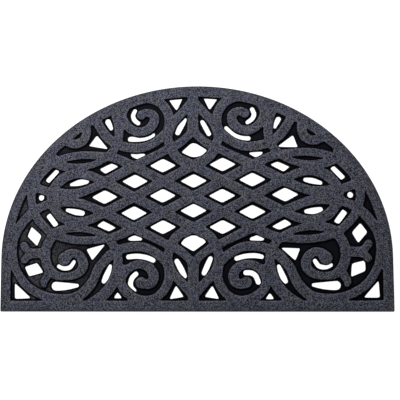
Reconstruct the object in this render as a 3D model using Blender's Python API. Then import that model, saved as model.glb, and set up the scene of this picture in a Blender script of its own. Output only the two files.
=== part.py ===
"""Half-round rubber doormat, moulded in one piece.

Flat raised bands make a diamond lattice and scrolls inside a plain border. Between the bands lies a thinner
floor, cut through with openings. The underside is flat.

Metres, +Z up. X runs along the straight edge and Y towards the round edge. The origin is on the underside, in
the middle of the mat. The pattern is drawn on a chart 700 across and 400 up, measured across from the middle
line and up from the straight edge. The chart is stretched over the mat, so its units are about a millimetre.
"""
import bmesh
import bpy
import numpy as np
from mathutils import Vector
from mathutils.geometry import delaunay_2d_cdt

# The mat's own sizes in metres: its width, its depth, and how high its bands and its floor are.
MAT_WIDTH = 0.700
MAT_DEPTH = 0.406
BAND_TOP = 0.008
FLOOR_TOP = 0.0045

# The outline on the chart: two short straight sides, then half an ellipse.
HALF_WIDTH = 350.0
DEPTH = 400.0
SIDE_HEIGHT = 95.0
CORNER_RADIUS = 2.5

# The plain border: along the straight edge, up the sides, and along the round edge at its ends and its top.
FOOT_BORDER = 20.0
SIDE_BORDER = 18.5
END_BORDER = 17.2
TOP_BORDER = 19.0

# The diamond lattice: its middle line, the distance from crossing to crossing, and its bands.
LATTICE_MIDDLE = 202.4
LATTICE_PITCH = 53.5
LATTICE_RISE = 27.6
LATTICE_BAND = 18.0

# The opening inside a lattice diamond, from its middle to its side tips and to its upper and lower ones.
DIAMOND_ACROSS = 24.2
DIAMOND_UP = 12.5

# The least that the floor reaches in from the bands round an opening.
LEAST_LEDGE = 1.3

# The upper half of the mould sits a little low: the bands come out this much lower than they are drawn.
MOULD_SLIP = 0.7

# Fillets: where bands meet, and at the corners of panes.
BAND_FILLET = 1.6
PANE_FILLET = 3.0

# How finely the shapes are worked out.
CHART_STEP = 1.0
ROUTE_STEP = 2.0
REACH = 12.0
FAR = 60.0
MARGIN = 2.0
EDGE_TOLERANCE = 0.36
ROUND_EDGE_STEPS = 72
CORNER_STEPS = 3
SMALLEST_POCKET = 12.0
SMALLEST_OPENING = 45.0
TINY = 1e-9

BAND_GREY = (0.066, 0.067, 0.084, 1.0)
BAND_ROUGHNESS = 0.85

BOTH = (1, -1)
RIGHT = (1,)
LEFT = (-1,)
ONCE = (1,)
TWICE = (1, -1)

# Bands of the right half. Columns: name, whether it comes again upside down about the lattice's middle, and
# its stops as (across, up, width). The left half mirrors them.
BANDS = (
    ("middle stem", TWICE, ((0, 396, 19), (0, 322, 19))),
    ("stem foot", TWICE, (
        (0, 345, 16), (1, 328, 16), (6, 314.5, 15.5), (16, 304.3, 15.5), (30, 294.3, 16), (43, 288.8, 16),
        (53.5, 283.8, 15.6), (65, 278, 15.6), (80, 270.6, 16.4), (95, 263.6, 17.6), (107, 257.6, 18))),
    ("upper brace", ONCE, (
        (0, 374, 16.5), (17, 355.5, 16.5), (33.5, 338, 16), (40, 326, 15), (44.5, 310, 14))),
    ("lower brace", ONCE, (
        (0, 27.5, 16.5), (17, 46.5, 16.5), (34.5, 65, 16), (41, 78, 15), (44.5, 94, 14))),
    ("lyre", TWICE, (
        (0, 256.8, 18), (12, 262, 18), (22, 267.5, 18), (31, 274.7, 18), (37.5, 284, 18), (42.5, 295, 17.5),
        (45.7, 308, 16.4), (45.3, 322, 16.4), (42.7, 337, 17.5))),
    ("upper lyre head", ONCE, (
        (45.3, 322, 16.4), (42.7, 337, 17.5), (45.5, 352, 17.5), (52.5, 364.5, 17.5), (62, 373.3, 17.5),
        (74, 378.7, 17.5), (86, 380.5, 17.5))),
    ("lower lyre foot", ONCE, (
        (45.3, 82.5, 16.4), (43.2, 67, 17), (45.4, 52, 17), (51.3, 40, 16.5), (60, 30, 16), (71, 22.8, 16.5),
        (82, 19.8, 17.5), (92, 19.8, 17.5))),
    ("cradle", TWICE, (
        (43, 327, 16), (50.5, 315.5, 17), (60, 306.8, 17.2), (70, 299.8, 16.2), (80, 294.6, 16.4),
        (90, 291.4, 16.8), (103, 290.3, 17.4), (118, 291.7, 17.6), (133, 295.5, 17.5), (146.5, 302, 17.5),
        (157.5, 311.5, 17.6))),
    ("s band", TWICE, (
        (135.5, 322, 16), (135.5, 309, 16), (139, 297, 16), (147, 284.5, 15.5), (159, 273.5, 14.3),
        (176, 263.8, 12.2), (195, 258.6, 13.2), (215, 257.4, 13.6), (235, 258.8, 16.4), (252, 264.5, 16))),
    ("outer loop", TWICE, (
        (107, 256.8, 18), (120, 263.4, 18), (135, 270.2, 17), (150, 274.8, 16), (165, 277.2, 14.8),
        (183, 278.6, 14.6), (203, 278.9, 14.8), (220, 277.2, 14.8), (240, 273, 14.6), (258, 265.2, 15.4),
        (274.3, 250.6, 16), (285.3, 237.6, 16), (292, 222, 16), (295.2, 211, 16), (296, 202, 16))),
    ("inner loop", TWICE, (
        (160.5, 229.4, 18), (175, 237.2, 16.2), (190, 242.8, 16.4), (205, 244.6, 14.4), (220, 243.2, 15.6),
        (237, 237.8, 19.4), (251, 224.5, 18), (258, 212, 17), (259.5, 202, 15))),
    ("knot edge", TWICE, ((222, 210.3, 15.5), (250, 211.5, 15.5), (259, 206, 15.5))),
    ("knot arm", ONCE, (
        (228, 194.5, 16), (248, 202, 16), (266, 213.5, 16), (282, 219.5, 16.5), (300, 231, 17))),
    ("upper pair tail", ONCE, ((157.5, 311.5, 17.6), (168.5, 326, 17.4), (176.5, 341, 17), (182, 356, 17))),
    ("upper s head", ONCE, ((134.8, 316, 16), (136, 334, 18), (140.5, 351, 19), (147, 368, 19))),
    ("upper scroll", ONCE, (
        (112, 374, 17), (122, 367, 17), (128.3, 356, 17), (128.3, 345, 17), (123.5, 335, 17),
        (115, 326, 16.5), (105, 320.7, 16.7), (95, 319.4, 16.7), (84, 322.4, 17.2), (75.5, 329, 18),
        (70.8, 338, 18), (71, 346.5, 17.5), (77, 352.5, 16), (86, 354, 15.2), (94, 350.2, 17))),
    ("upper curl", ONCE, (
        (204, 345, 17), (197, 334, 17), (195.2, 320, 17), (201, 305.5, 17), (216, 299.5, 17), (231, 305, 17),
        (237, 318, 20))),
    ("upper curl bud", ONCE, ((236, 326, 20), (224.5, 320.3, 19))),
    ("blunt end by the curl", ONCE, ((257.6, 280.4, 12), (253.6, 274.2, 12))),
    ("lower scroll", ONCE, (
        (92, 19.8, 17.5), (105, 24, 17.5), (118.5, 33, 17.5), (127.5, 44.5, 17), (129.5, 56, 17),
        (124.5, 68, 17), (116, 76.5, 16), (106, 81.6, 16), (96, 83, 15.3), (86.5, 81, 16), (77.5, 75.5, 17.5),
        (71.8, 66.5, 18.8), (71.5, 57.5, 18.8), (76.5, 50.5, 18), (85, 48.3, 17), (94, 51.2, 20))),
    ("blunt end in the lower scroll", ONCE, ((129, 77.5, 13), (125, 76, 13))),
    ("lower s tail", ONCE, (
        (135.5, 90, 16), (137, 78, 17.5), (139, 64, 19), (145.5, 50, 20), (155.5, 36, 20.5),
        (169.5, 23, 21), (186, 13, 20))),
    ("knot to ring", ONCE, (
        (160.5, 229.4, 18), (175, 222.7, 17), (190, 216.8, 16.5), (206, 211.5, 17), (226, 209, 16),
        (248, 202, 16), (266, 190.8, 16), (281, 184.6, 16.5), (296, 175, 17.5), (309, 161.5, 18),
        (319.5, 146.5, 17), (326.5, 130, 16), (329.3, 108, 16), (327, 87, 16))),
    ("ring", ONCE, (
        (329.3, 108, 16), (327, 87, 16), (318.5, 68, 16), (305.5, 50, 16), (288.5, 37, 16), (268, 28, 16),
        (248, 24, 16), (226, 23.3, 18), (208.5, 27, 19), (196.5, 35.5, 19), (185, 48, 18.5),
        (177.5, 62, 17.5), (171.5, 76, 17.5), (161.5, 88, 17.5), (148, 100.5, 17.5))),
    ("knot's lower arm", ONCE, (
        (160.5, 174.6, 18), (175, 181.3, 17), (190, 187.2, 16.5), (206, 192.5, 17), (226, 195, 16),
        (248, 202, 16))),
    ("right scroll", ONCE, (
        (240, 144, 16), (253, 136, 17), (263.5, 122, 18), (268.3, 106, 18), (267.3, 90, 18.5),
        (261, 75.5, 18), (248.5, 64.8, 16), (231, 62.2, 14), (214.5, 65, 15.5), (202.5, 73, 17),
        (198.8, 84.5, 18.5), (203.5, 96.5, 17), (213.5, 103.3, 16), (225, 101.5, 18), (234, 93, 23))),
    ("fork's upper prong", ONCE, ((268, 104, 18), (288, 103.8, 17), (300, 107.5, 14), (308.2, 117, 14.8))),
    ("fork's lower prong", ONCE, ((268, 104, 18), (288, 103, 17), (300, 98.7, 13.5), (306.8, 92, 14))),
    ("small lobe", ONCE, ((257, 73, 16), (265.5, 62, 15), (270.6, 53, 13.5), (269.5, 47.5, 9.5))),
)

# Straight lattice bands of the right half. Columns: which way the band leans, how many rises above the
# lattice's middle it meets the middle line, and how many pitches from there it starts and ends.
LATTICE_LINES = (
    (-1, 4, 2, 3),
    (-1, 2, 0, 3),
    (-1, 0, 0, 2),
    (-1, -2, 0, 0.3),
    (1, -4, 2, 3),
    (1, -2, 0, 3),
    (1, 0, 0, 2),
    (1, 2, 0, 0.3),
)

# Openings in the lattice's diamonds. Columns: the diamond's place as pitches across and rises up from the
# lattice's middle, and how far off its middle the opening lies, to the right and up.
DIAMONDS = (
    (0, 1, 0.5, 0),
    (0, -1, 0, 2.2),
    (-1, 0, -2.2, 1.7),
    (1, 0, -1.8, 0.6),
    (-1, 2, -2, 0.6),
    (1, 2, -0.7, 1.2),
    (-1, -2, -1.7, 1),
    (1, -2, -1.3, 0.4),
    (-2, 1, 0.6, 0.5),
    (2, 1, -0.9, 1.1),
    (-2, -1, -0.9, -1.3),
    (2, -1, -1.4, -0.8),
    (-3, 0, -1.3, 0.4),
    (3, 0, 3.7, 1.4),
)

# Slots through the floor, with round ends. Columns: sides, and stops as (across, up, width).
SLOTS = (
    (RIGHT, ((200.5, 229.6, 7.2), (213.6, 227.4, 10.2), (227, 223.8, 6.6))),
    (LEFT, ((195, 231.3, 8.2), (209, 229.2, 11), (224, 226, 5.4))),
    (RIGHT, ((201, 173.9, 6.8), (213, 174.6, 11), (226, 176.8, 8.8))),
    (LEFT, ((202.3, 174.2, 8.6), (214.8, 176.5, 10.3), (230.8, 180.2, 6))),
    (RIGHT, ((16.4, 335.9, 7.4), (21.8, 326.4, 8.4), (28.6, 313.6, 7.6))),
    (LEFT, ((16.2, 340, 8.8), (21.6, 330, 10.4), (28.2, 317.2, 9.2))),
    (RIGHT, ((18.5, 67, 8.4), (23.5, 77.5, 10), (30, 92, 8.2))),
    (LEFT, ((16.6, 61.8, 8.6), (22.6, 74, 10.4), (30.1, 87.6, 9))),
    (RIGHT, ((60, 323.9, 7.6), (67, 316.8, 7.8), (78, 310.3, 8.2), (89, 306.4, 8.6), (99.5, 305.1, 8.6))),
    (LEFT, ((74, 313.8, 8.4), (81, 310.4, 8.8), (89, 307.9, 9.2), (100.5, 306.5, 9.2), (115.4, 306.9, 9))),
    (RIGHT, ((106.9, 357.3, 7.8), (110.2, 348.8, 8.2), (107.1, 340.3, 8.2), (98.4, 333.8, 7.2))),
    (LEFT, ((107, 357.9, 7.7), (110.4, 349.7, 8.1), (107.6, 341.3, 8.1), (100.6, 335.5, 7.4))),
    (RIGHT, ((76.5, 92, 7.5), (88, 95.4, 8.2), (101, 97, 8.4), (112, 96.8, 8.4), (121.2, 95, 7.5))),
    (LEFT, ((72.6, 89.5, 8), (82, 93.6, 8.8), (93.4, 96.2, 8.8), (105.4, 97, 8.8), (117.9, 95.8, 8.4))),
    (RIGHT, ((92.6, 67.3, 8.4), (102.7, 66.7, 8.8), (110.4, 61.4, 8.8), (114.8, 50.4, 8.2))),
    (LEFT, ((103.8, 65.6, 8.6), (110.4, 59.4, 9.2), (113.8, 50, 9.2), (112.4, 42, 9.2), (107.4, 36.6, 8.6))),
    (RIGHT, ((147.5, 324.2, 5.4), (150.4, 331.8, 7.8), (153.9, 338.4, 9.2))),
    (LEFT, ((150.4, 326.4, 6.4), (153.4, 333.2, 8.8), (156.8, 339.2, 10.4))),
    (RIGHT, ((151.3, 78.3, 6.2), (154.4, 69, 9), (159.1, 59, 10.2), (162.9, 52.1, 7.6))),
    (LEFT, ((150.8, 79.7, 6.6), (153.9, 70.2, 9.6), (158.6, 60.2, 10.9), (162.4, 53.1, 8.2))),
    (RIGHT, ((215, 87.2, 7.4), (220.8, 79, 8), (227.8, 76.7, 8), (234.8, 77, 7.8), (242.5, 80.1, 7.2))),
    (LEFT, (
        (217.4, 87.2, 7.3), (223.4, 78.8, 8.1), (230.4, 76.4, 8.1), (237.4, 76.6, 7.9), (245, 79.7, 7.3))),
    (RIGHT, ((211.5, 45.8, 5.8), (227, 44.5, 10.8), (242, 44.2, 14), (251.5, 44.8, 15.2))),
    (LEFT, ((210.3, 45.6, 5.8), (225.8, 44.3, 10.8), (240.8, 44, 14), (250.3, 44.6, 15.2))),
    (RIGHT, ((278.9, 202, 10.2),)),
    (LEFT, ((278.8, 203, 10.6),)),
)

# Panes: openings through the floor with straight sides. Columns: sides, and corners anticlockwise.
PANES = (
    (RIGHT, (
        (-21.6, 282.2), (-13.4, 276.6), (0.5, 272), (15.4, 275), (25.4, 284.4), (3.6, 298.2), (-3.2, 298.2))),
    (RIGHT, ((-23.4, 118.8), (-0.3, 105), (22.8, 121.4), (15, 129.2), (5.8, 133), (-5.4, 133.2), (-15, 129))),
    (BOTH, ((18.2, 380.6), (30, 356.8), (46.4, 380))),
    (RIGHT, ((19.3, 25.6), (45.3, 21.6), (33.3, 45.1))),
    (LEFT, ((17.6, 25.6), (43.8, 21.5), (31.8, 45.4))),
    (RIGHT, ((127, 21.4), (142.6, 21.4), (135, 32.4))),
    (LEFT, ((128.7, 23.2), (144.5, 23.2), (137, 34.4))),
    (RIGHT, ((138, 257.2), (161.8, 244.4), (173.4, 252.6), (151.4, 262.8))),
    (LEFT, ((136.3, 257.6), (160.3, 244.7), (172, 253.1), (150.1, 263.6))),
    (RIGHT, ((139.8, 147.6), (153.4, 141.8), (175.3, 151.9), (163.5, 160.3))),
    (LEFT, ((140.2, 147.4), (153.9, 141.4), (176, 151.6), (164.1, 160.1))),
    (RIGHT, ((244.4, 249.1), (263.6, 228.2), (271.4, 233.6), (252.1, 253.6))),
    (LEFT, ((245.4, 249.8), (264.6, 228.8), (272.4, 234.2), (253.1, 254.3))),
    (RIGHT, ((248.9, 155.5), (258, 151.3), (273.4, 171), (265.3, 177.1))),
    (LEFT, ((245.9, 154.1), (254.9, 149.6), (270.2, 169.3), (262.2, 175.2))),
    (RIGHT, ((99.4, 278), (112, 270.3), (124, 275.6), (125.9, 280.5), (103, 280.5))),
    (LEFT, ((86.2, 278), (99.6, 269.4), (112.8, 274.9), (115, 280.7), (90, 280.7))),
    (RIGHT, ((100.5, 123.5), (124.6, 123.1), (127, 127), (114.9, 133.4), (100.5, 128.1))),
    (LEFT, ((92.8, 124.9), (116.8, 124.5), (119.7, 128.2), (107.7, 134.2), (92.8, 129))),
    (RIGHT, ((151.2, 288.8), (188.3, 287.6), (179.8, 309.6))),
    (LEFT, ((155.6, 289.2), (192.4, 295.8), (177.4, 315.2))),
    (RIGHT, ((155.1, 110.5), (180.6, 88.1), (189.6, 109.1))),
    (LEFT, ((159.6, 118.6), (183.6, 89.8), (195, 109.6))),
    (RIGHT, ((280, 135.8), (291, 117.9), (307.5, 136.9), (295.5, 152.9))),
    (LEFT, ((277.1, 134.1), (285.6, 115.6), (304.1, 133.6), (296.6, 151.1))),
    (RIGHT, ((279.2, 82.3), (277.2, 59.5), (302.8, 70), (301.8, 87.6))),
    (LEFT, ((272.8, 69.1), (299.8, 62.1), (308.3, 78.6), (284.8, 86.1))),
    (RIGHT, ((298.3, 24), (326.3, 24), (324.8, 53.3))),
    (LEFT, ((295, 23.5), (325.5, 22.5), (326, 51))),
)


class Chart:
    """An even grid of points over the chart. A map on it holds how far each point is outside a shape."""

    def __init__(self, slip=0.0):
        """With a slip, what is drawn on it comes out that much lower."""
        self.columns = np.arange(-HALF_WIDTH - MARGIN, HALF_WIDTH + MARGIN + CHART_STEP / 2, CHART_STEP)
        self.rows = np.arange(-MARGIN, DEPTH + MARGIN + CHART_STEP / 2, CHART_STEP) + slip
        self.x, self.y = np.meshgrid(self.columns, self.rows)

    def blank(self):
        return np.full(self.x.shape, FAR)

    def box(self, low, high):
        """The part of the grid between two corners."""
        columns = np.searchsorted(self.columns, (low[0], high[0]))
        rows = np.searchsorted(self.rows, (low[1], high[1]))
        return slice(*rows), slice(*columns)


def joined(a, b, fillet):
    """Either of two shapes, with a small fillet in the corners between them."""
    closeness = np.maximum(fillet - np.abs(a - b), 0.0) / fillet
    return np.minimum(a, b) - closeness ** 2 * fillet / 4


def placed(points, side, flip):
    """Points on one side of the middle line, 1 right or -1 left. A flip of -1 puts them upside down."""
    moved = []
    for across, up, *width in points:
        if flip < 0:
            up = 2 * LATTICE_MIDDLE - up
        moved.append((side * across, up, *width))
    if side * flip < 0:
        moved.reverse()
    return np.array(moved, float)


def smooth_route(stops):
    """A smooth curve through the stops (Catmull-Rom), in short runs."""
    if len(stops) < 3:
        return stops[[0, -1]]
    ends = 2 * stops[0] - stops[1], 2 * stops[-1] - stops[-2]
    points = np.vstack([ends[0], stops, ends[1]])
    route = []
    for before, start, end, after in zip(points[:-3], points[1:-2], points[2:-1], points[3:]):
        steps = max(1, round(float(np.hypot(*(end - start)[:2])) / ROUTE_STEP))
        for t in np.arange(steps) / steps:
            pull = (end - before) * t
            bend = (2 * before - 5 * start + 4 * end - after) * t ** 2
            twist = (3 * start - before - 3 * end + after) * t ** 3
            route.append(start + (pull + bend + twist) / 2)
    route.append(stops[-1])
    return np.array(route)


def draw_run(chart, drawing, start, end):
    """Adds one straight run of a band to a map."""
    spread = max(start[2], end[2]) / 2 + REACH
    low = np.minimum(start, end)[:2] - spread
    high = np.maximum(start, end)[:2] + spread
    here = chart.box(low, high)
    across, up, widening = end - start
    x = chart.x[here] - start[0]
    y = chart.y[here] - start[1]
    along = np.clip((x * across + y * up) / max(across ** 2 + up ** 2, TINY), 0, 1)
    distance = np.hypot(x - along * across, y - along * up) - (start[2] + along * widening) / 2
    drawing[here] = np.minimum(drawing[here], distance)


def draw_band(chart, route):
    """A map of one band."""
    drawing = chart.blank()
    for start, end in zip(route[:-1], route[1:]):
        draw_run(chart, drawing, start, end)
    return drawing


def draw_pane(chart, corners):
    """A map of one shape with straight sides and rounded corners."""
    outside = chart.blank() - 2 * FAR
    for start, end in zip(corners, np.roll(corners, -1, axis=0)):
        across, up = (end - start) / np.hypot(*(end - start))
        beyond = (chart.x - start[0]) * up - (chart.y - start[1]) * across
        outside = -joined(-outside, -beyond, PANE_FILLET)
    return outside


def draw_stroke(chart, stops):
    return draw_band(chart, smooth_route(stops))


def draw_cuts(chart):
    """A map of every slot, pane and diamond."""
    drawing = chart.blank()
    for table, draw in ((SLOTS, draw_stroke), (PANES, draw_pane)):
        for sides, points in table:
            for side in sides:
                drawing = np.minimum(drawing, draw(chart, placed(points, side, 1)))
    for pitches, rises, right, higher in DIAMONDS:
        middle = (pitches * LATTICE_PITCH + right, LATTICE_MIDDLE + rises * LATTICE_RISE + higher)
        tips = ((-DIAMOND_ACROSS, 0), (0, -DIAMOND_UP), (DIAMOND_ACROSS, 0), (0, DIAMOND_UP))
        drawing = np.minimum(drawing, draw_pane(chart, np.add(middle, tips)))
    return drawing


def lattice_stops(lean, rises, first, last):
    """Ends of one straight lattice band."""
    stops = []
    for pitches in (first, last):
        up = LATTICE_MIDDLE + (rises + lean * pitches) * LATTICE_RISE
        stops.append((pitches * LATTICE_PITCH, up, LATTICE_BAND))
    return np.array(stops)


def round_edge(steps):
    """Points along the round edge, from its right end to its left end, with how far up it each one is."""
    points = []
    for angle in np.linspace(0, np.pi, steps + 1):
        up = SIDE_HEIGHT + (DEPTH - SIDE_HEIGHT) * np.sin(angle)
        points.append((HALF_WIDTH * np.cos(angle), up, np.sin(angle)))
    return points


def draw_borders(chart):
    """A map of the plain border, solid all the way out."""
    straight = joined(chart.y - FOOT_BORDER, HALF_WIDTH - np.abs(chart.x) - SIDE_BORDER, BAND_FILLET)
    stops = []
    for across, up, rise in round_edge(2 * ROUND_EDGE_STEPS):
        stops.append((across, up, 2 * (END_BORDER + (TOP_BORDER - END_BORDER) * rise)))
    arc = draw_band(chart, np.array(stops))
    above = np.maximum(chart.y - SIDE_HEIGHT, 0) / (DEPTH - SIDE_HEIGHT)
    beyond = np.hypot(chart.x / HALF_WIDTH, above) > 1
    return joined(straight, np.where(beyond, -TOP_BORDER, arc), BAND_FILLET)


def draw_bands(chart):
    """A map of everything that is raised."""
    half = chart.blank()
    for _, flips, stops in BANDS:
        for flip in flips:
            half = joined(half, draw_stroke(chart, placed(stops, 1, flip)), BAND_FILLET)
    for line in LATTICE_LINES:
        half = joined(half, draw_band(chart, lattice_stops(*line)), BAND_FILLET)
    whole = joined(half, half[:, ::-1], BAND_FILLET)
    return joined(whole, draw_borders(chart), BAND_FILLET)


def crossing(chart, drawing, a, b):
    """Where a map passes through zero between two neighbouring points of the grid."""
    share = drawing[a] / (drawing[a] - drawing[b])
    x = chart.x[a] + share * (chart.x[b] - chart.x[a])
    y = chart.y[a] + share * (chart.y[b] - chart.y[a])
    return x, y


def edge_links(inside):
    """For each grid edge that a shape's outline crosses, the next one along it, triangle by triangle."""
    lower, upper = inside[:-1], inside[1:]
    count = lower[:, :-1].astype(int) + lower[:, 1:] + upper[:, :-1] + upper[:, 1:]
    mixed = (count > 0) & (count < 4)
    links = {}
    for row, column in np.argwhere(mixed):
        near, right = (row, column), (row, column + 1)
        far, up = (row + 1, column + 1), (row + 1, column)
        for corners in ((near, right, far), (near, far, up)):
            sides = list(zip(corners, corners[1:] + corners[:1]))
            leaving = [frozenset(side) for side in sides if inside[side[0]] and not inside[side[1]]]
            entering = [frozenset(side) for side in sides if inside[side[1]] and not inside[side[0]]]
            links.update(zip(leaving, entering))
    return links


def thinned(points, tolerance):
    """The fewest of a line's points that keep it within the tolerance (Douglas-Peucker)."""
    chord = points[-1] - points[0]
    offset = points - points[0]
    length = np.hypot(*chord)
    distance = np.hypot(*offset.T)
    if length > TINY:
        distance = np.abs(offset[:, 0] * chord[1] - offset[:, 1] * chord[0]) / length
    furthest = int(np.argmax(distance))
    if distance[furthest] <= tolerance:
        return points[[0, -1]]
    first = thinned(points[:furthest + 1], tolerance)
    second = thinned(points[furthest:], tolerance)
    return np.vstack([first[:-1], second])


def area(loop):
    x, y = loop.T
    return np.sum(x * np.roll(y, -1) - y * np.roll(x, -1)) / 2


def loops_of(chart, drawing, smallest):
    """Anticlockwise outlines of the places where a map is above zero, apart from specks."""
    drawing = np.where(np.abs(drawing) < TINY, TINY, drawing)
    links = edge_links(drawing > 0)
    loops = []
    while links:
        first, following = links.popitem()
        edges = [first]
        while following != first:
            edges.append(following)
            following = links.pop(following)
        loop = np.array([crossing(chart, drawing, *sorted(edge)) for edge in edges])
        if area(loop) > smallest:
            start = int(np.argmin(loop @ (1.0, CHART_STEP / DEPTH)))
            loop = np.roll(loop, -start, axis=0)
            loops.append(thinned(np.vstack([loop, loop[:1]]), EDGE_TOLERANCE)[:-1])
    return sorted(loops, key=lambda loop: tuple(loop[0]))


def mat_outline():
    """The mat's outer edge, anticlockwise, with its two lower corners a little rounded."""
    corner = []
    for angle in np.linspace(-np.pi / 2, 0, CORNER_STEPS + 1):
        across = HALF_WIDTH - CORNER_RADIUS + CORNER_RADIUS * np.cos(angle)
        corner.append((across, CORNER_RADIUS + CORNER_RADIUS * np.sin(angle)))
    other = [(-across, up) for across, up in reversed(corner)]
    edge = [point[:2] for point in round_edge(ROUND_EDGE_STEPS)]
    return np.array(corner + edge + other)


def triangles_between(loops):
    """Triangles of the area inside exactly one of the loops, as places in the loops' joined points."""
    points = [Vector(point) for loop in loops for point in loop]
    places = iter(range(len(points)))
    faces = [[next(places) for _ in loop] for loop in loops]
    _, _, triangles, sources, _, owners = delaunay_2d_cdt(points, [], faces, 0, TINY)
    kept = []
    for triangle, owner in zip(triangles, owners):
        if len(owner) == 1:
            kept.append([sources[corner][0] for corner in triangle])
    return kept


def ring(mesh, loop, height):
    """A loop's corners in the mesh, stretched from the chart over the mat, at a height."""
    corners = []
    for across, up in loop:
        x = across / HALF_WIDTH * MAT_WIDTH / 2
        y = (up / DEPTH - 0.5) * MAT_DEPTH
        corners.append(mesh.verts.new((x, y, height)))
    return corners


def add_flat(mesh, loops, rings):
    """The flat faces between outer and inner rings of one height."""
    corners = [corner for one in rings for corner in one]
    for triangle in triangles_between(loops):
        mesh.faces.new([corners[place] for place in triangle])


def add_wall(mesh, upper, lower):
    """The upright faces between two rings of one loop."""
    for place in range(len(upper)):
        mesh.faces.new((lower[place - 1], lower[place], upper[place], upper[place - 1]))


def mat_mesh(outline, pockets, openings):
    """One closed body: band tops round the pockets, the floor round the openings, and a flat underside."""
    mesh = bmesh.new()
    top_edge, bottom_edge = ring(mesh, outline, BAND_TOP), ring(mesh, outline, 0)
    pocket_rims = [ring(mesh, loop, BAND_TOP) for loop in pockets]
    pocket_feet = [ring(mesh, loop, FLOOR_TOP) for loop in pockets]
    opening_rims = [ring(mesh, loop, FLOOR_TOP) for loop in openings]
    opening_feet = [ring(mesh, loop, 0) for loop in openings]
    add_flat(mesh, [outline] + pockets, [top_edge] + pocket_rims)
    add_flat(mesh, pockets + openings, pocket_feet + opening_rims)
    add_flat(mesh, [outline] + openings, [bottom_edge] + opening_feet)
    add_wall(mesh, top_edge, bottom_edge)
    for upper, lower in zip(pocket_rims + opening_rims, pocket_feet + opening_feet):
        add_wall(mesh, upper, lower)
    bmesh.ops.recalc_face_normals(mesh, faces=mesh.faces)
    result = bpy.data.meshes.new("mat")
    mesh.to_mesh(result)
    mesh.free()
    return result


def rubber():
    material = bpy.data.materials.new("rubber")
    material.use_nodes = True
    shader = material.node_tree.nodes["Principled BSDF"]
    shader.inputs["Base Color"].default_value = BAND_GREY
    shader.inputs["Roughness"].default_value = BAND_ROUGHNESS
    shader.inputs["Metallic"].default_value = 0.0
    material.diffuse_color = BAND_GREY
    return material


def make_mat():
    chart = Chart()
    bands = draw_bands(Chart(MOULD_SLIP))
    cuts = draw_cuts(chart)
    pockets = loops_of(chart, bands, SMALLEST_POCKET)
    openings = loops_of(chart, np.minimum(-cuts, bands - LEAST_LEDGE), SMALLEST_OPENING)
    mesh = mat_mesh(mat_outline(), pockets, openings)
    mesh.materials.append(rubber())
    mat = bpy.data.objects.new("mat", mesh)
    bpy.context.scene.collection.objects.link(mat)


def main():
    for old in list(bpy.data.objects):
        bpy.data.objects.remove(old)
    make_mat()


main()
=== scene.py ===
"""Looks of the half-round rubber doormat: black rubber, with a slate-grey crumb face on its raised bands.

Metres, +Z up. X runs along the straight edge and Y towards the round edge.
"""
import math

import bmesh
import bpy
import numpy as np
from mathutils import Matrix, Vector, noise
from mathutils.geometry import delaunay_2d_cdt
from mathutils.kdtree import KDTree


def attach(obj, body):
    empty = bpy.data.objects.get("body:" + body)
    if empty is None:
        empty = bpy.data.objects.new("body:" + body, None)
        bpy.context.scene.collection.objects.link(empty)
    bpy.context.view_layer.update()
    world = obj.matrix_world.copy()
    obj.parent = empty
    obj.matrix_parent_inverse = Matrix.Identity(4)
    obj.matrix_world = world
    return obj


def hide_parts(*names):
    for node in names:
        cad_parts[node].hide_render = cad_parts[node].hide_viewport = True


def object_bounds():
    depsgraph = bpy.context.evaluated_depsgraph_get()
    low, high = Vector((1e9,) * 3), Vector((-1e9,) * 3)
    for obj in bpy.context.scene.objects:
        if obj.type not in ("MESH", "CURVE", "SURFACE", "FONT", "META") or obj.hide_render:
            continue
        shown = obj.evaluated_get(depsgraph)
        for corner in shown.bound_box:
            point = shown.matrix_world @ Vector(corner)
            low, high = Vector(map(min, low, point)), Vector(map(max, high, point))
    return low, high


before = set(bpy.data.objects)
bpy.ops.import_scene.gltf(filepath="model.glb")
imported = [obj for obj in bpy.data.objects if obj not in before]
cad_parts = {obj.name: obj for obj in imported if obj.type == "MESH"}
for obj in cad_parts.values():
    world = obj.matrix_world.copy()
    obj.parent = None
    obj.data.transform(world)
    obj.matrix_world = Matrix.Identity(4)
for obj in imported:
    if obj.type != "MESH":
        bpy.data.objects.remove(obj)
cad_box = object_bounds()

MM = 0.001

# A face whose normal points up by at least this much is level, not a wall. Points nearer than the weld are
# one point.
UPRIGHT = 0.5
WELD = 0.001 * MM

# How round the rims of the bands, of the mat's outer edge and of the openings are.
BAND_EDGE = 1.3 * MM
OUTER_EDGE = 0.6 * MM
OPENING_EDGE = 0.7 * MM

# From which turn a rim's corner is sharp, how far it is cut back, and what share of its side that takes at
# most.
SHARP_TURN = math.radians(42)
CORNER_CUT = 0.8 * MM
LONGEST_CUT = 1 / 3

# How finely a rim is bent, and the rows of points in from it. A row's point is left out where another rim is
# nearer than this share of its own distance.
RIM_STEP = 1.6 * MM
TURN_STEP = math.radians(18)
BAND_ROWS = (0.12 * MM, 0.5 * MM, 1.3 * MM)
OUTER_ROWS = (2.2 * MM,)
OPENING_ROWS = (0.2 * MM, 0.7 * MM)
ROW_CLEARANCE = 0.9

# The points over the flats: how far apart they and their rows are, how clear of the rims they stay, and one
# in how many of them the underside keeps.
FLAT_STEP = 3.4 * MM
FLAT_ROW_STEP = FLAT_STEP * math.sqrt(0.75)
FLAT_CLEARANCE = 2.8 * MM
FLOOR_CLEARANCE = 1.6 * MM
UNDER_SHARE = 5

# Faces that meet at less than this turn are shaded as one.
SMOOTH_TURN = math.radians(50)

# The bands are a little rounded over: how far in from a rim, and how deep at the rim itself. The mat's outer
# edge is rounded over more widely.
SHOULDER = 5.0 * MM
SHOULDER_DEPTH = 0.35 * MM
OUTER_SHOULDER = 8 * MM
OUTER_DEPTH = 0.6 * MM

# The slow rise and fall of the crumb face, which dies away at the rims.
SWELL = 0.14 * MM
SWELL_REACH = 8 * MM

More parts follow.
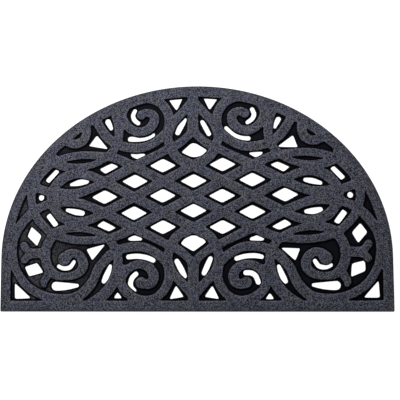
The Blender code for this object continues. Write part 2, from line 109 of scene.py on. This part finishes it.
# The mesh's own layers that say how far each point is from the nearest rim and from the mat's outer edge.
FROM_RIM = "from_rim"
FROM_EDGE = "from_edge"

# The crumb's darkest slate, its pale slate where it is greyer and where it is bluer, and its pale specks.
SLATE_DARK = (0.008, 0.009, 0.014, 1)
SLATE_GREY = (0.095, 0.094, 0.111, 1)
SLATE_BLUE = (0.086, 0.094, 0.136, 1)
PALE_SPECK = (0.150, 0.146, 0.150, 1)

# The rubber under the crumb, bare and dusty, and the thicker dust that lies towards the left end.
# Bare rubber is also painted as shade on the pocket floors beside their walls.
BARE_RUBBER = (0.0006, 0.0007, 0.0016, 1)
DUSTY_RUBBER = (0.0034, 0.0036, 0.0068, 1)
THICK_DUST = (0.058, 0.057, 0.062, 1)

# The sizes of the crumbs, of the grain and the mottle on them, of the changes of hue and the thin patches, of
# the ragged borders, and of the dust's specks. A busy noise has one more fine layer than a soft one.
CRUMB = 1.1 * MM
GRAIN = 0.9 * MM
MOTTLE = 3.6 * MM
HUE = 16 * MM
PATCH = 35 * MM
RAGGED = 1.2 * MM
DUST_SPECK = 1.9 * MM
SOFT = 2.0
BUSY = 3.0

# How pale the slate gets: what each crumb's own tint, the mottle and the painted highlight beside a rim add
# to it, and between which shades it runs from dark to pale, and between which hues from grey to blue.
TINT_SHARE = 1.38
MOTTLE_SHARE = 0.32
RIM_HIGHLIGHT_SHARE = 0.18
RIM_HIGHLIGHT_REACH = (1.6 * MM, 5 * MM)
DARKEST_SHADE = 0.96
SHADES = (0.0, 0.95)
HUES = (0.28, 0.68)

# The pale specks: what makes a crumb one, and how strongly it shows.
SPECK_TINT_SHARE = 0.8
SPECK_MOTTLE_SHARE = 0.2
SPECKS = (0.64, 0.93)
SPECK_STRENGTH = 0.55

# Where the crumb is thin, in patches, and the painted shade that darkens it towards the mat's outer edge.
THIN_PATCHES = (0.35, 0.7)
THIN_PATCH_SHARE = 0.14
EDGE_SHADE_REACH = (1 * MM, 8 * MM)
EDGE_SHADE_SHARE = 0.3

# The crumb starts this high on the mat, and this far in from a rim and from the outer edge, raggedly.
FACE_HEIGHT = (6.0 * MM, 6.2 * MM)
FACE_START = (0.4 * MM, 0.9 * MM)
FACE_RAGGED = 0.4 * MM
FACE_EDGE_START = (1.1 * MM, 1.5 * MM)
FACE_EDGE_RAGGED = 0.6 * MM

# The dust in the pockets and the painted shade by their walls: how far from a wall the shade ends and the
# dust starts and is full, thin and thick, and how ragged that border is.
WALL_SHADE_REACH = (2.2 * MM, 6.5 * MM)
WALL_SHADE_RAGGED = 2 * MM
THICK_DUST_SHADE_REACH = (1.6 * MM, 4.2 * MM)
THICK_DUST_SHADE_RAGGED = 1 * MM

# Where the thick dust starts and is full, on the way to the left and, by the lean, towards the straight edge,
# and how speckled it is.
DUST_ENDS = (165 * MM, 330 * MM)
DUST_LEAN = 0.3
DUST_SPECKS = (0.36, 0.68)
DUST_SPECK_SHARE = 0.85
DUST_BETWEEN = 0.05

# The relief: the grain raises the crumb, and the crumbs' own shape rounds it off. Bare rubber has little of
# it, and is a little less rough than the crumb.
GRAIN_RELIEF = 0.6
CRUMB_RELIEF = 0.4
FACE_RELIEF = 0.9
BARE_RELIEF = 0.1
BUMP_STRENGTH = 0.8
BUMP_DEPTH = 0.6 * MM
BARE_ROUGHNESS = 0.6
FACE_ROUGHNESS = 0.3
GLOSS = 0.03

WHITE = (1, 1, 1, 1)

# The pale floor. It lies just under the mat and turns up far away, so that it fills low views too.
FLOOR_SIZE = 30.0
FLOOR_DROP = 0.2 * MM
FLOOR_RIM = 1.0
FLOOR_GLOW = 1.0
FLOOR_GREY = 0.1
FLOOR_ROUGHNESS = 0.9

# The soft lamp stands behind the mat's left end, and a faint even light fills the shadows.
KEY_PLACE = (-0.385, 0.815, 0.87)
KEY_SIZE = 1.2
KEY_POWER = 35.6
FILL_LIGHT = 0.08

# The camera stands a little to the right of the mat and looks down on it.
CAMERA_PLACE = (0.108, -0.123, 1.311)
CAMERA_TURN = (math.radians(5.152), math.radians(4.2225), math.radians(-0.231))
CAMERA_LENS = 65.92
CAMERA_SIGHT = 100


def rim_lines(solid):
    """The closed lines where a flat upward face ends at a wall, each with its flat face on the left."""
    following = {}
    for face in solid.faces:
        if face.normal.z < UPRIGHT:
            continue
        for corner in face.loops:
            if min(abs(side.normal.z) for side in corner.edge.link_faces) < UPRIGHT:
                following[corner.vert] = corner.link_loop_next.vert
    lines = []
    while following:
        first, after = following.popitem()
        line = [first.co]
        while after != first:
            line.append(after.co)
            after = following.pop(after)
        lines.append(np.array(line))
    return lines


def area(line):
    """A closed line's area, below zero where it runs clockwise."""
    x, y = line.T
    return float(np.sum(x * np.roll(y, -1) - y * np.roll(x, -1))) / 2


def turn_between(first, second):
    """The angles from one set of directions to another."""
    cross = first[:, 0] * second[:, 1] - first[:, 1] * second[:, 0]
    return np.abs(np.arctan2(cross, np.sum(first * second, axis=1)))


def corners_cut(line):
    """A closed line with each sharp corner cut back to two blunt ones."""
    before, after = np.roll(line, 1, axis=0), np.roll(line, -1, axis=0)
    turns = turn_between(line - before, after - line)
    points = []
    for previous, corner, following, turn in zip(before, line, after, turns):
        if turn < SHARP_TURN:
            points.append(corner)
            continue
        for end in (previous, following):
            share = min(CORNER_CUT / math.dist(end, corner), LONGEST_CUT)
            points.append(corner + share * (end - corner))
    return np.array(points)


def curved(line):
    """A closed line bent smoothly through its points, in short steps."""
    after = np.roll(line, -1, axis=0)
    length = np.hypot(*(after - line).T)
    heading = after - np.roll(line, 1, axis=0)
    heading /= np.hypot(*heading.T)[:, None]
    next_heading = np.roll(heading, -1, axis=0)
    turns = turn_between(heading, next_heading)
    points = []
    for start, end, leaving, arriving, run, turn in zip(line, after, heading, next_heading, length, turns):
        parts = max(1, math.ceil(run / RIM_STEP), math.ceil(turn / TURN_STEP))
        for t in np.arange(parts) / parts:
            ease = t * t * (3 - 2 * t)
            bend = t * (1 - t) ** 2 * leaving - t * t * (1 - t) * arriving
            points.append(start + ease * (end - start) + run * bend)
    return np.array(points)


def beside(line, distance):
    """A row of points beside a closed line, on its left."""
    along = np.roll(line, -1, axis=0) - np.roll(line, 1, axis=0)
    left = np.column_stack([-along[:, 1], along[:, 0]])
    return line + distance * left / np.hypot(*left.T)[:, None]


def gap(places, start, end):
    """How far each place is from its own straight run."""
    run = end - start
    offset = places - start
    share = np.clip(np.sum(offset * run, axis=1) / np.sum(run * run, axis=1), 0, 1)
    return np.hypot(*(offset - share[:, None] * run).T)


class Rims:
    """The rims of one level, which tell how far a place is from the nearest of them."""

    def __init__(self, lines):
        self.lines = lines
        self.points = np.vstack(lines)
        self.after = np.vstack([np.roll(line, -1, axis=0) for line in lines])
        self.before = np.vstack([np.roll(line, 1, axis=0) for line in lines])
        self.tree = KDTree(len(self.points))
        for place, (x, y) in enumerate(self.points):
            self.tree.insert((x, y, 0), place)
        self.tree.balance()

    def distance(self, places):
        """How far each place is from its nearest rim."""
        nearest = [self.tree.find((x, y, 0))[1] for x, y in places]
        rim = self.points[nearest]
        return np.minimum(gap(places, rim, self.after[nearest]), gap(places, rim, self.before[nearest]))

    def rows(self, distances):
        """Rows of points beside the rims, apart from those that come too near another rim."""
        kept = []
        for distance in distances:
            row = np.vstack([beside(line, distance) for line in self.lines])
            kept.append(row[self.distance(row) > ROW_CLEARANCE * distance])
        return np.vstack(kept)


def flat_places():
    """Staggered rows of points over the whole mat."""
    low, high = cad_box
    places = []
    for row, y in enumerate(np.arange(low.y, high.y, FLAT_ROW_STEP)):
        for x in np.arange(low.x + FLAT_STEP * (row % 2) / 2, high.x, FLAT_STEP):
            places.append((x, y))
    return np.array(places)


def triangles_between(lines, inner):
    """Triangles of the area inside exactly one of the lines, as places in the lines' and inner points."""
    points = np.vstack(lines + [inner])
    outlines = []
    first = 0
    for line in lines:
        outline = list(range(first, first + len(line)))
        first += len(line)
        outlines.append(outline if area(line) > 0 else outline[::-1])
    vectors = [Vector(point) for point in points]
    _, _, triangles, sources, _, owners = delaunay_2d_cdt(vectors, [], outlines, 0, WELD)
    kept = [corners for corners, owner in zip(triangles, owners) if len(owner) == 1]
    return [[sources[corner][0] for corner in corners] for corners in kept]


def drop(distance, radius):
    """How far a rounded edge has fallen, at a distance in from its wall."""
    inwards = np.clip(1 - distance / radius, 0, 1)
    return radius * (1 - np.sqrt(1 - inwards ** 2))


def rounded_over(distance, reach, depth):
    """How far a soft shoulder has fallen, at a distance in from its rim."""
    return depth * np.clip(1 - distance / reach, 0, 1) ** 2


def swell(places, distance):
    """The slow unevenness of the crumb face."""
    heights = np.array([noise.noise(Vector((x, y, 0)) / SWELL_REACH) for x, y in places])
    return SWELL * heights * np.clip(distance / FLAT_CLEARANCE, 0, 1)


class Body:
    """The mat's points and faces as they are made, each point with how far it is from rim and outer edge."""

    def __init__(self):
        self.points = []
        self.faces = []
        self.from_rim = []
        self.from_edge = []

    def add_flat(self, lines, inner, heights, from_rim, from_edge):
        """Adds a level between lines, and gives back where each line's points start."""
        first = len(self.points)
        level = np.vstack(lines + [inner])
        self.points.extend(np.column_stack([level, heights]))
        self.from_rim.extend(from_rim)
        self.from_edge.extend(from_edge)
        for corners in triangles_between(lines, inner):
            self.faces.append([first + corner for corner in corners])
        return [first + start for start in np.cumsum([0] + [len(line) for line in lines[:-1]])]

    def add_walls(self, lines, uppers, lowers):
        """Adds the wall under each line, from one level to another."""
        for line, upper, lower in zip(lines, uppers, lowers):
            for place in range(len(line)):
                after = (place + 1) % len(line)
                self.faces.append([upper + place, upper + after, lower + after, lower + place])

    def mesh(self, name):
        """The body as a mesh, with loose points left out and every face turned outwards."""
        mesh = bpy.data.meshes.new(name)
        mesh.from_pydata([tuple(point) for point in self.points], [], self.faces)
        for layer, distances in ((FROM_RIM, self.from_rim), (FROM_EDGE, self.from_edge)):
            mesh.attributes.new(layer, "FLOAT", "POINT").data.foreach_set("value", distances)
        solid = bmesh.new()
        solid.from_mesh(mesh)
        loose = [point for point in solid.verts if not point.link_faces]
        bmesh.ops.delete(solid, geom=loose, context="VERTS")
        bmesh.ops.recalc_face_normals(solid, faces=solid.faces)
        solid.to_mesh(mesh)
        solid.free()
        mesh.shade_smooth()
        mesh.set_sharp_from_angle(angle=SMOOTH_TURN)
        return mesh


def mat_lines(node):
    """The mat's outer line, its pockets' rims, its openings' rims, and the heights of bands and floor."""
    solid = bmesh.new()
    solid.from_mesh(node.data)
    bmesh.ops.remove_doubles(solid, verts=solid.verts, dist=WELD)
    rims = rim_lines(solid)
    solid.free()
    heights = [float(line[0, 2]) for line in rims]
    band_top, floor_top = max(heights), min(heights)
    smooth = [curved(corners_cut(line[:, :2])) for line in rims]
    upper = [line for line, height in zip(smooth, heights) if height > floor_top + WELD]
    lower = [line for line, height in zip(smooth, heights) if height <= floor_top + WELD]
    outline = [line for line in upper if area(line) > 0]
    pockets = [line for line in upper if area(line) < 0]
    openings = [line for line in lower if area(line) < 0]
    return outline, pockets, openings, band_top, floor_top


def mat_body(outline, pockets, openings, band_top, floor_top):
    """The mat with rounded rims: the bands, the floor in their pockets, and the flat underside."""
    body = Body()
    flat = flat_places()
    edge = Rims(outline)
    hollows = Rims(pockets)

    bands = Rims(outline + pockets)
    between = flat[bands.distance(flat) > FLAT_CLEARANCE]
    inner = np.vstack([bands.rows(BAND_ROWS), edge.rows(OUTER_ROWS), between])
    level = np.vstack([bands.points, inner])
    from_edge, from_hollow = edge.distance(level), hollows.distance(level)
    from_rim = np.minimum(from_edge, from_hollow)
    fall = drop(from_hollow, BAND_EDGE) + rounded_over(from_hollow, SHOULDER, SHOULDER_DEPTH)
    fall += drop(from_edge, OUTER_EDGE) + rounded_over(from_edge, OUTER_SHOULDER, OUTER_DEPTH)
    heights = band_top - fall + swell(level, from_rim)
    band_starts = body.add_flat(outline + pockets, inner, heights, from_rim, from_edge)

    rims = Rims(openings)
    feet = Rims(pockets + openings)
    inner = np.vstack([rims.rows(OPENING_ROWS), flat[feet.distance(flat) > FLOOR_CLEARANCE]])
    level = np.vstack([feet.points, inner])
    heights = floor_top - drop(rims.distance(level), OPENING_EDGE)
    floor_starts = body.add_flat(
        pockets + openings, inner, heights, feet.distance(level), edge.distance(level))

    under = Rims(outline + openings)
    inner = flat[under.distance(flat) > FLAT_CLEARANCE][::UNDER_SHARE]
    level = np.vstack([under.points, inner])
    heights = np.zeros(len(level))
    under_starts = body.add_flat(
        outline + openings, inner, heights, under.distance(level), edge.distance(level))

    body.add_walls(outline, band_starts[:1], under_starts[:1])
    body.add_walls(pockets, band_starts[1:], floor_starts[:len(pockets)])
    body.add_walls(openings, floor_starts[len(pockets):], under_starts[1:])
    return body


class Value:
    """One value of a finish. An expression on it adds the Math nodes that work it out."""

    def __init__(self, finish, socket):
        self.finish = finish
        self.socket = socket

    def math(self, operation, first, second):
        return self.finish.add("ShaderNodeMath", {"operation": operation}, {0: first, 1: second})

    def __add__(self, other):
        return self.math("ADD", self, other)

    def __radd__(self, other):
        return self.math("ADD", other, self)

    def __sub__(self, other):
        return self.math("SUBTRACT", self, other)

    def __rsub__(self, other):
        return self.math("SUBTRACT", other, self)

    def __mul__(self, other):
        return self.math("MULTIPLY", self, other)

    def __rmul__(self, other):
        return self.math("MULTIPLY", other, self)

    def between(self, low, high):
        """Runs from 0 at the low value to 1 at the high one."""
        return self.finish.add(
            "ShaderNodeMapRange", {"interpolation_type": "SMOOTHSTEP"}, {"Value": self, 1: low, 2: high})


class Finish:
    """A material, and the one way to add nodes to it."""

    def __init__(self, name):
        self.material = bpy.data.materials.new(name)
        self.material.use_nodes = True
        self.tree = self.material.node_tree
        self.shader = self.tree.nodes["Principled BSDF"]

    def add(self, kind, settings, sockets, output=0):
        """Adds a node, its settings first and then its sockets' values or links, and gives back an output."""
        node = self.tree.nodes.new(kind)
        for name, setting in settings.items():
            setattr(node, name, setting)
        self.fill(node, sockets)
        return Value(self, node.outputs[output])

    def fill(self, node, sockets):
        """Sets a node's sockets, each to a plain value or to a link."""
        for name, value in sockets.items():
            if isinstance(value, Value):
                self.tree.links.new(value.socket, node.inputs[name])
            else:
                node.inputs[name].default_value = value

    def mix(self, share, first, second):
        """Two colours mixed, from all of the first to all of the second."""
        return self.add("ShaderNodeMix", {"data_type": "RGBA"}, {0: share, 6: first, 7: second}, 2)

    def cloud(self, place, size, detail=SOFT):
        """Even noise from 0 to 1, with patches of about the size."""
        return self.add("ShaderNodeTexNoise", {}, {"Vector": place, "Scale": 1 / size, "Detail": detail})


def crumb_face(finish, place, from_rim, from_edge, patches):
    """The crumb's colour and relief, with a painted highlight by the rims and painted shade at the outer
    edge.
    """
    crumbs = {"Vector": place, "Scale": 1 / CRUMB}
    own_colour = finish.add("ShaderNodeTexVoronoi", {}, crumbs, "Color")
    tint = finish.add("ShaderNodeSeparateColor", {}, {"Color": own_colour})
    centre = finish.add("ShaderNodeTexVoronoi", {}, crumbs, "Distance")
    grain = finish.cloud(place, GRAIN)
    mottle = finish.cloud(place, MOTTLE, BUSY)
    hue = finish.cloud(place, HUE, BUSY)

    # Painted highlight: the crumb is painted paler beside each rim, fading out further in.
    rim_highlight = (1 - from_rim.between(*RIM_HIGHLIGHT_REACH)) * RIM_HIGHLIGHT_SHARE
    shade = tint * TINT_SHARE + grain + mottle * MOTTLE_SHARE + rim_highlight - DARKEST_SHADE
    pale = finish.mix(hue.between(*HUES), SLATE_GREY, SLATE_BLUE)
    slate = finish.mix(shade.between(*SHADES), SLATE_DARK, pale)
    speck = (tint * SPECK_TINT_SHARE + mottle * SPECK_MOTTLE_SHARE).between(*SPECKS)
    crumb = finish.mix(speck * SPECK_STRENGTH, slate, PALE_SPECK)
    thin = patches.between(*THIN_PATCHES) * THIN_PATCH_SHARE
    # Painted shade: the crumb is painted darker towards the mat's outer edge.
    thin = thin + (1 - from_edge.between(*EDGE_SHADE_REACH)) * EDGE_SHADE_SHARE
    return finish.mix(thin, crumb, SLATE_DARK), grain * GRAIN_RELIEF - centre * CRUMB_RELIEF


def pocket_rubber_with_shade(finish, place, from_rim, ragged):
    """The colour of the rubber in the pockets: black with painted shade beside a wall, and dusty away from
    it.
    """
    across = finish.add("ShaderNodeSeparateXYZ", {}, {0: place}, "X")
    along = finish.add("ShaderNodeSeparateXYZ", {}, {0: place}, "Y")
    # Painted shade: beside each wall the floor is left black, and thin and thick dust start only further out.
    thin = (from_rim + ragged * WALL_SHADE_RAGGED).between(*WALL_SHADE_REACH)
    thick = (from_rim + ragged * THICK_DUST_SHADE_RAGGED).between(*THICK_DUST_SHADE_REACH)
    specks = finish.cloud(place, DUST_SPECK, BUSY).between(*DUST_SPECKS)
    to_left = (0.0 - across - along * DUST_LEAN).between(*DUST_ENDS)
    thick = thick * (to_left * (specks * DUST_SPECK_SHARE + DUST_BETWEEN))
    return finish.mix(thick, finish.mix(thin, BARE_RUBBER, DUSTY_RUBBER), THICK_DUST)


def moulded_rubber():
    """Black rubber, with a face of slate-grey crumb where it is raised."""
    finish = Finish("moulded rubber with a crumb face")
    place = finish.add("ShaderNodeTexCoord", {}, {}, "Object")
    height = finish.add("ShaderNodeSeparateXYZ", {}, {0: place}, "Z")
    from_rim = finish.add("ShaderNodeAttribute", {"attribute_name": FROM_RIM}, {}, "Fac")
    from_edge = finish.add("ShaderNodeAttribute", {"attribute_name": FROM_EDGE}, {}, "Fac")
    ragged = finish.cloud(place, RAGGED)
    patches = finish.cloud(place, PATCH, BUSY)
    crumb, crumb_relief = crumb_face(finish, place, from_rim, from_edge, patches)

    raised = height.between(*FACE_HEIGHT)
    face = raised * (from_rim + ragged * FACE_RAGGED).between(*FACE_START)
    face = face * (from_edge + ragged * FACE_EDGE_RAGGED).between(*FACE_EDGE_START)
    rubber = finish.mix(raised, pocket_rubber_with_shade(finish, place, from_rim, ragged), BARE_RUBBER)
    relief = crumb_relief * (face * FACE_RELIEF + BARE_RELIEF)
    bump = finish.add(
        "ShaderNodeBump", {}, {"Strength": BUMP_STRENGTH, "Distance": BUMP_DEPTH, "Height": relief})
    finish.fill(finish.shader, {
        "Base Color": finish.mix(face, rubber, crumb),
        "Roughness": BARE_ROUGHNESS + face * FACE_ROUGHNESS,
        "Normal": bump,
        "Specular IOR Level": GLOSS,
    })
    return finish.material


def make_mat():
    """Makes the dressed mat in the place of its solid."""
    lines = mat_lines(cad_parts["mat"])
    mesh = mat_body(*lines).mesh("moulded mat")
    mesh.materials.append(moulded_rubber())
    mat = bpy.data.objects.new("moulded_mat", mesh)
    bpy.context.scene.collection.objects.link(mat)
    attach(mat, "root")
    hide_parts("mat")


def make_floor():
    """Makes the pale floor, which glows so that it looks as white as in the photo."""
    mesh = bpy.data.meshes.new("floor")
    half = FLOOR_SIZE / 2
    corners = ((-half, -half), (half, -half), (half, half), (-half, half))
    points = [(x, y, z) for z in (-FLOOR_DROP, FLOOR_RIM) for x, y in corners]
    sides = [(side, (side + 1) % 4, (side + 1) % 4 + 4, side + 4) for side in range(4)]
    mesh.from_pydata(points, [], [(0, 1, 2, 3)] + sides)
    finish = Finish("pale floor")
    finish.fill(finish.shader, {
        "Base Color": (FLOOR_GREY, FLOOR_GREY, FLOOR_GREY, 1),
        "Roughness": FLOOR_ROUGHNESS,
        "Emission Color": WHITE,
        "Emission Strength": FLOOR_GLOW,
    })
    mesh.materials.append(finish.material)
    floor = bpy.data.objects.new("floor", mesh)
    bpy.context.scene.collection.objects.link(floor)


def add_light(name, place, size, power):
    """A soft square lamp that points at the middle of the mat."""
    lamp = bpy.data.lights.new(name, "AREA")
    lamp.size = size
    lamp.energy = power
    light = bpy.data.objects.new(name, lamp)
    light.location = place
    light.rotation_euler = (-Vector(place)).to_track_quat("-Z", "Y").to_euler()
    bpy.context.scene.collection.objects.link(light)


def make_studio():
    """Makes the lights and the camera."""
    scene = bpy.context.scene
    add_light("key light", KEY_PLACE, KEY_SIZE, KEY_POWER)
    world = bpy.data.worlds.new("studio")
    world.use_nodes = True
    backdrop = world.node_tree.nodes["Background"]
    backdrop.inputs["Color"].default_value = WHITE
    backdrop.inputs["Strength"].default_value = FILL_LIGHT
    scene.world = world
    scene.view_settings.view_transform = "Standard"
    scene.view_settings.look = "None"
    lens = bpy.data.cameras.new("camera")
    lens.lens = CAMERA_LENS
    lens.clip_end = CAMERA_SIGHT
    camera = bpy.data.objects.new("camera", lens)
    camera.location = CAMERA_PLACE
    camera.rotation_euler = CAMERA_TURN
    scene.collection.objects.link(camera)
    scene.camera = camera


make_studio()
make_floor()
make_mat()
